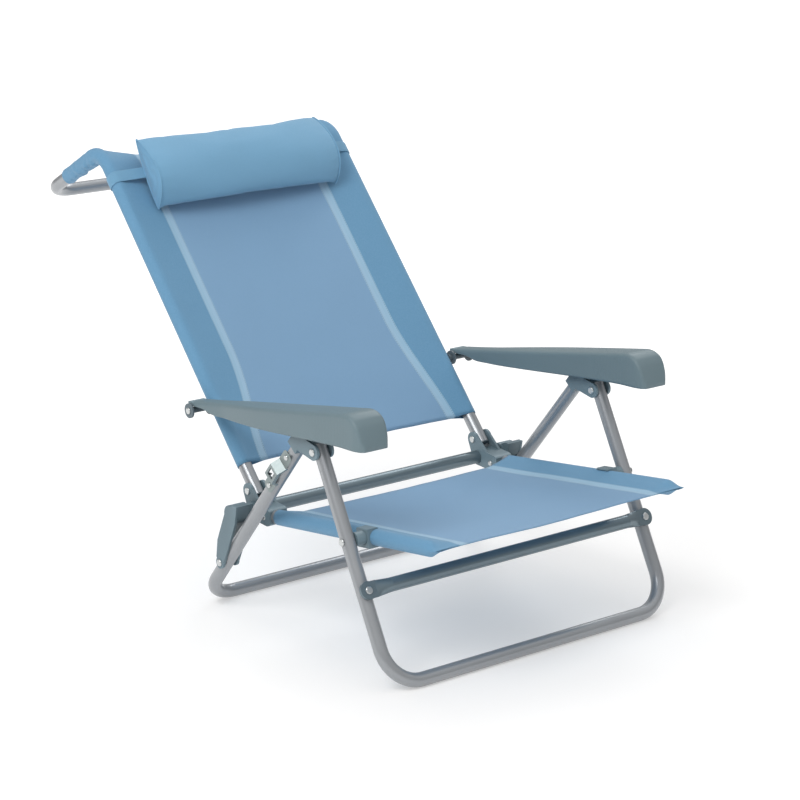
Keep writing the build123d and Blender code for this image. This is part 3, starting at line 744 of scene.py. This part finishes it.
def build_strap():
    """Elastic webbing from one end of the pillow, round both side tubes, behind the back."""
    reach = SLEEVE_R + 1.1 * MM
    path = [(-(PILLOW_HALF - 12 * MM), reach + 4 * MM), (-(PILLOW_HALF + 6 * MM), reach + 2.5 * MM),
            (-(back_x - 14 * MM), reach + 0.6 * MM)]
    turns = 14
    path += [(-back_x + reach * math.cos(math.pi / 2 + math.pi * step / turns),
              reach * math.sin(math.pi / 2 + math.pi * step / turns)) for step in range(turns + 1)]
    spans = 24
    path += [(-back_x + 2 * back_x * step / spans, -reach) for step in range(1, spans)]
    path += [(back_x + reach * math.cos(-math.pi / 2 + math.pi * step / turns),
              reach * math.sin(-math.pi / 2 + math.pi * step / turns)) for step in range(turns + 1)]
    path += [(back_x - 14 * MM, reach + 0.6 * MM), (PILLOW_HALF + 6 * MM, reach + 2.5 * MM),
             (PILLOW_HALF - 12 * MM, reach + 4 * MM)]
    across = 8
    verts = []
    for index, (x, out) in enumerate(path):
        for step in range(across + 1):
            share = step / across
            curl = 0.35 * MM * math.cos(2 * math.pi * share)
            wander = 1.5 * MM * math.sin(index * 0.35)
            place_up = STRAP_ALONG + wander + (share - 0.5) * STRAP_W
            verts.append(back_place(x, place_up, out - math.copysign(curl, out) * 0.3))
    strap = add_mesh("pillow_band", verts, grid_faces(len(path), across + 1, close_columns=False))
    solid = strap.modifiers.new("thickness", "SOLIDIFY")
    solid.thickness = STRAP_T
    solid.offset = 0.0
    rounding = strap.modifiers.new("rounding", "SUBSURF")
    rounding.levels = rounding.render_levels = 1
    apply_modifiers(strap)
    return strap


dress(build_strap(), strap_cloth, "strap_cloth", "pillow", "pillow_strap")


# ---- Armrests ------------------------------------------------------------------------------------
def line_between(pairs, value):
    """Straight-line value from a list of (place, value) pairs."""
    for (low, start), (high, end) in zip(pairs, pairs[1:]):
        if value <= high:
            return start + (end - start) * (value - low) / (high - low)
    return pairs[-1][1]


# Outlines of the left armrest in millimetres: (y, z) of its top and underside, (y, x) of its sides.
ARM_SKIN = 2.6 * MM
ARM_CROWN = [(37, 372), (40, 383), (43, 392), (49, 404.5), (57, 413), (68, 418), (80, 419), (516, 337),
             (524, 334)]
ARM_UNDER = [(37, 368.5), (90, 366.5), (160, 360), (232, 352), (332, 340), (436, 329.5), (455, 327),
             (470, 333.2), (524, 329.5)]
ARM_OUTER = [(37, 299), (43, 304.8), (55, 308), (210, 308), (320, 302), (424, 286), (524, 285.4)]
ARM_INNER = [(37, 259), (43, 253.2), (55, 250), (400, 250.2), (424, 253.4), (524, 254)]
ARM_STATIONS = [37.4, 38.2, 40, 43, 46, 49, 53, 57, 62, 68, 74, 80, 92, 110, 150, 190, 240, 300, 360, 400,
                424, 440, 458, 475, 495, 510, 519, 522.5, 523.6]
ARM_REAR_ROUND = 511                  # from here back the end closes in
ARM_SHOULDER = 7.0


def build_armrest(side):
    """A moulded shell, open underneath, with rounded shoulders and a front that turns down."""
    verts = []
    ring = 0
    for y in ARM_STATIONS:
        top = line_between(ARM_CROWN, y)
        under = line_between(ARM_UNDER, y)
        outer = line_between(ARM_OUTER, y)
        inner = line_between(ARM_INNER, y)
        rear = max(0.0, (y - ARM_REAR_ROUND) / 12.6)
        top -= rear ** 2 * 4
        outer -= rear ** 2 * 3.5
        inner += rear ** 2 * 3.5
        radius = min(ARM_SHOULDER, (outer - inner) * 0.32, (top - under) * 0.6)
        section = [(inner, under), (inner, under + (top - under) * 0.35), (inner, top - radius)]
        for step in (1, 2):
            turn = math.pi - math.pi / 2 * step / 3
            section.append((inner + radius + radius * math.cos(turn), top - radius + radius * math.sin(turn)))
        section.append((inner + radius, top))
        section.append(((inner + outer) / 2, top + 0.8))
        section.append((outer - radius, top))
        for step in (1, 2):
            turn = math.pi / 2 - math.pi / 2 * step / 3
            section.append((outer - radius + radius * math.cos(turn), top - radius + radius * math.sin(turn)))
        section += [(outer, top - radius), (outer, under + (top - under) * 0.35), (outer, under)]
        ring = len(section)
        verts += [Vector((side * x * MM, y * MM, z * MM)) for x, z in section]
    faces = grid_faces(len(ARM_STATIONS), ring, close_columns=False)
    for row in (0, len(ARM_STATIONS) - 1):
        start = row * ring
        for step in range(ring // 2 - 1):
            faces.append((start + step, start + step + 1, start + ring - 2 - step, start + ring - 1 - step))
        half = ring // 2
        faces.append((start + half - 1, start + half, start + half + 1))
    name = "left" if side > 0 else "right"
    shell = add_mesh("armrest_shell_" + name, verts, faces)
    face_outwards(shell)
    rounding = shell.modifiers.new("rounding", "SUBSURF")
    rounding.levels = rounding.render_levels = 2
    apply_modifiers(shell)
    centre = Vector((side * 0.275, 0.25, 0.35))
    facing = sum((polygon.normal.dot(polygon.center - centre) for polygon in shell.data.polygons))
    solid = shell.modifiers.new("thickness", "SOLIDIFY")
    solid.thickness = ARM_SKIN
    solid.offset = -1.0 if facing > 0 else 1.0
    apply_modifiers(shell)
    dress(shell, armrest_plastic, "armrest_plastic", "armrests", "armrest_" + name)
    dress(build_rack(side, name), armrest_plastic, "armrest_plastic", "armrests")
    dress(build_ribs(side, name), armrest_plastic, "armrest_plastic", "armrests")


def box_piece(name, corners_low, corners_high, bevel):
    """A thin plate with bevelled edges between two corners."""
    mesh = bmesh.new()
    bmesh.ops.create_cube(mesh, size=1.0)
    size = corners_high - corners_low
    middle = (corners_high + corners_low) / 2
    for vertex in mesh.verts:
        vertex.co = Vector((vertex.co.x * size.x, vertex.co.y * size.y, vertex.co.z * size.z)) + middle
    bmesh.ops.bevel(mesh, geom=mesh.edges[:], offset=bevel, segments=2, affect="EDGES")
    data = bpy.data.meshes.new(name)
    mesh.to_mesh(data)
    mesh.free()
    piece = bpy.data.objects.new(name, data)
    bpy.context.scene.collection.objects.link(piece)
    return piece


RACK_TIP, RACK_ROOT, RACK_ROOF = 7.1 * MM, 11 * MM, 14 * MM    # heights over the spool's centre line
RACK_RISE = 3.55 / 48.4               # how the row of notches climbs towards the front
RACK_PITCH = 16.2 * MM
RACK_LOW_X, RACK_HIGH_X = 255.2 * MM, 284.2 * MM
NOTCHES = 4
NOTCH_HALF = 4.2 * MM


def build_rack(side, name):
    """The notched plate under the rear of the armrest that rests on the spool."""
    spool_low, spool_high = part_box("spool_left")
    hub_y = (spool_low.y + spool_high.y) / 2
    hub_z = (spool_low.z + spool_high.z) / 2
    profile = [(10 * MM, RACK_ROOT + 1 * MM), (8 * MM, RACK_TIP)]
    for notch in range(NOTCHES):
        middle = -notch * RACK_PITCH
        for step in range(9):
            turn = math.pi * step / 8
            height = RACK_TIP + (RACK_ROOT - RACK_TIP) * math.sin(turn)
            profile.append((middle + NOTCH_HALF * math.cos(turn), height))
    profile += [(-57 * MM, RACK_TIP), (-57 * MM, RACK_ROOF), (9 * MM, RACK_ROOF)]
    verts = []
    for x in (RACK_LOW_X, RACK_HIGH_X):
        for along, height in profile:
            verts.append(Vector((side * x, hub_y + along, hub_z - along * RACK_RISE + height)))
    count = len(profile)
    faces = [tuple(range(count)), tuple(range(2 * count - 1, count - 1, -1))]
    for step in range(count):
        after = (step + 1) % count
        faces.append((step, after, count + after, count + step))
    rack = add_mesh("armrest_rack_" + name, verts, faces, smooth=False)
    face_outwards(rack)
    return rack


RIB_PLACES = (96, 132, 292, 352, 404)


def build_ribs(side, name):
    """Cross ribs inside the hollow of the armrest."""
    ribs = []
    for y in RIB_PLACES:
        top = line_between(ARM_CROWN, y) - 2.2
        outer = line_between(ARM_OUTER, y) - 1.2
        inner = line_between(ARM_INNER, y) + 1.2
        under = line_between(ARM_UNDER, y) + 9
        low = Vector((min(side * inner, side * outer) * MM, (y - 1) * MM, under * MM))
        high = Vector((max(side * inner, side * outer) * MM, (y + 1) * MM, (top - 2) * MM))
        ribs.append(box_piece("rib", low, high, 0.4 * MM))
    mesh = bmesh.new()
    for rib in ribs:
        mesh.from_mesh(rib.data)
        bpy.data.objects.remove(rib)
    data = bpy.data.meshes.new("ribs")
    mesh.to_mesh(data)
    mesh.free()
    piece = bpy.data.objects.new("armrest_ribs_" + name, data)
    bpy.context.scene.collection.objects.link(piece)
    return piece


for side in (RIGHT, LEFT):
    build_armrest(side)


# ---- Bottle opener ---------------------------------------------------------------------------------
REAR_LEG_SLOPE = math.radians(129.85)
OPENER_T = 1.4 * MM
# The rest of the opener's sizes are in millimetres, with places measured up the leg from its middle.
OPENER_FACE = 1.6                     # the plate's outer face over the leg
OPENER_HALF_WIDTH = 11
OPENER_SHELF = 6.5                    # half width of the window
OPENER_LINE = [(-45, 0), (-22, 0), (-14, 12), (10, 12), (20, 0), (45, 0)]
OPENER_FOLD = [(-45, 0.4), (-24, 0.4), (-20, 7), (18, 7), (22, 0.4), (45, 0.4)]
OPENER_ENDS = [(-45, 7), (-43, 9.6), (-40, 11), (40, 11), (43, 9.6), (45, 7)]
OPENER_STATIONS = [-45, -43, -40, -24, -22, -20, -14, -9, 5, 10, 18, 20, 22, 40, 43, 45]
OPENER_WINDOW = (-9, 5)


def build_opener():
    """A stamped bridge with folded sides and a window, lying flat on the leg at both ends."""
    low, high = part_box("bottle_opener")
    centre = Vector((high.x, (low.y + high.y) / 2, (low.z + high.z) / 2))
    along_leg = Vector((0, math.cos(REAR_LEG_SLOPE), math.sin(REAR_LEG_SLOPE)))
    across_leg = Vector((0, -along_leg.z, along_leg.y))
    verts = []
    for place in OPENER_STATIONS:
        rise = line_between(OPENER_LINE, place) + OPENER_FACE
        edge = rise - line_between(OPENER_FOLD, place)
        half = line_between(OPENER_ENDS, place)
        shelf = half * OPENER_SHELF / OPENER_HALF_WIDTH
        section = [(-half, edge), (-half, rise), (-shelf, rise), (shelf, rise), (half, rise), (half, edge)]
        for across, out in section:
            outward = Vector((-out * MM, 0, 0))
            verts.append(centre + along_leg * (place * MM) + across_leg * (across * MM) + outward)
    columns = len(section)
    middle_column = columns // 2 - 1
    faces = []
    for index, face in enumerate(grid_faces(len(OPENER_STATIONS), columns, close_columns=False)):
        row, column = divmod(index, columns - 1)
        if column == middle_column and OPENER_WINDOW[0] <= OPENER_STATIONS[row] < OPENER_WINDOW[1]:
            continue
        faces.append(face)
    plate = add_mesh("opener_plate", verts, faces, smooth=False)
    facing_leg = sum(polygon.normal.x * polygon.area for polygon in plate.data.polygons)
    solid = plate.modifiers.new("thickness", "SOLIDIFY")
    solid.thickness = OPENER_T
    solid.offset = 1.0 if facing_leg > 0 else -1.0
    apply_modifiers(plate)
    return plate


dress(build_opener(), zinc_plate, "zinc_plate", "rear_frame", "bottle_opener")


# ---- Stage: floor, light, camera ----------------------------------------------------------------
FLOOR_GLOW_NEAR = 0.33
FLOOR_GLOW_FAR = 0.68
GLOW_REACH = 2.6                      # metres from the chair to where the floor glows most
SKY_TOP = 1.0
SKY_SIDE = 0.22


def build_floor():
    floor = add_mesh("floor", [(-8, -8, 0), (8, -8, 0), (8, 10, 0), (-8, 10, 0)], [(0, 1, 2, 3)])
    material, tree, shader = new_material("floor_white")
    tree.links.new(mix_colour(tree, noise_node(tree, 3.0), (0.60, 0.595, 0.59), (0.61, 0.605, 0.60)),
                   shader.inputs["Base Color"])
    shader.inputs["Roughness"].default_value = 0.95
    shader.inputs["Emission Color"].default_value = (1.0, 1.0, 1.0, 1.0)
    distance = tree.nodes.new("ShaderNodeVectorMath")
    distance.operation = "LENGTH"
    tree.links.new(tree.nodes.new("ShaderNodeTexCoord").outputs["Object"], distance.inputs[0])
    share = math_node(tree, "MULTIPLY", distance.outputs["Value"], 1 / GLOW_REACH)
    glow = range_of(tree, share, FLOOR_GLOW_NEAR, FLOOR_GLOW_FAR)
    tree.links.new(glow, shader.inputs["Emission Strength"])
    floor.data.materials.append(material)


def add_light(name, place, target, size, power):
    light = bpy.data.lights.new(name, "AREA")
    light.size = size
    light.energy = power
    lamp = bpy.data.objects.new(name, light)
    lamp.location = place
    lamp.rotation_euler = (Vector(target) - Vector(place)).to_track_quat("-Z", "Y").to_euler()
    bpy.context.scene.collection.objects.link(lamp)


TARGET = Vector((-0.0182, 0.3142, 0.3375))
VIEW_AZIMUTH = math.radians(38.1)
VIEW_ELEVATION = math.radians(15.8)
VIEW_DISTANCE = 4.045
FOCAL = 113.95


def build_camera():
    level = math.cos(VIEW_ELEVATION)
    height = math.sin(VIEW_ELEVATION)
    away = Vector((-math.sin(VIEW_AZIMUTH) * level, -math.cos(VIEW_AZIMUTH) * level, height))
    camera = bpy.data.cameras.new("camera")
    camera.lens = FOCAL
    camera.sensor_width = 36
    holder = bpy.data.objects.new("camera", camera)
    holder.location = TARGET + away * VIEW_DISTANCE
    holder.rotation_euler = (-away).to_track_quat("-Z", "Y").to_euler()
    bpy.context.scene.collection.objects.link(holder)
    bpy.context.scene.camera = holder


def build_world():
    """White behind the chair; for everything else brighter from above than from the sides."""
    world = bpy.data.worlds.new("studio")
    world.use_nodes = True
    tree = world.node_tree
    place = tree.nodes.new("ShaderNodeSeparateXYZ")
    tree.links.new(tree.nodes.new("ShaderNodeTexCoord").outputs["Generated"], place.inputs[0])
    sky = range_of(tree, place.outputs["Z"], SKY_SIDE, SKY_TOP)
    seen = tree.nodes.new("ShaderNodeLightPath").outputs["Is Camera Ray"]
    tree.links.new(math_node(tree, "MAXIMUM", seen, sky), tree.nodes["Background"].inputs["Strength"])
    tree.nodes["Background"].inputs["Color"].default_value = (1.0, 1.0, 1.0, 1.0)
    bpy.context.scene.world = world


build_floor()
build_world()
add_light("key", (-2.6, -0.6, 3.0), (0, 0.4, 0.3), 1.8, 70)
add_light("rim", (2.2, 1.6, 2.6), (0, 0.4, 0.4), 1.4, 22)
build_camera()
bpy.context.scene.view_settings.view_transform = "Standard"
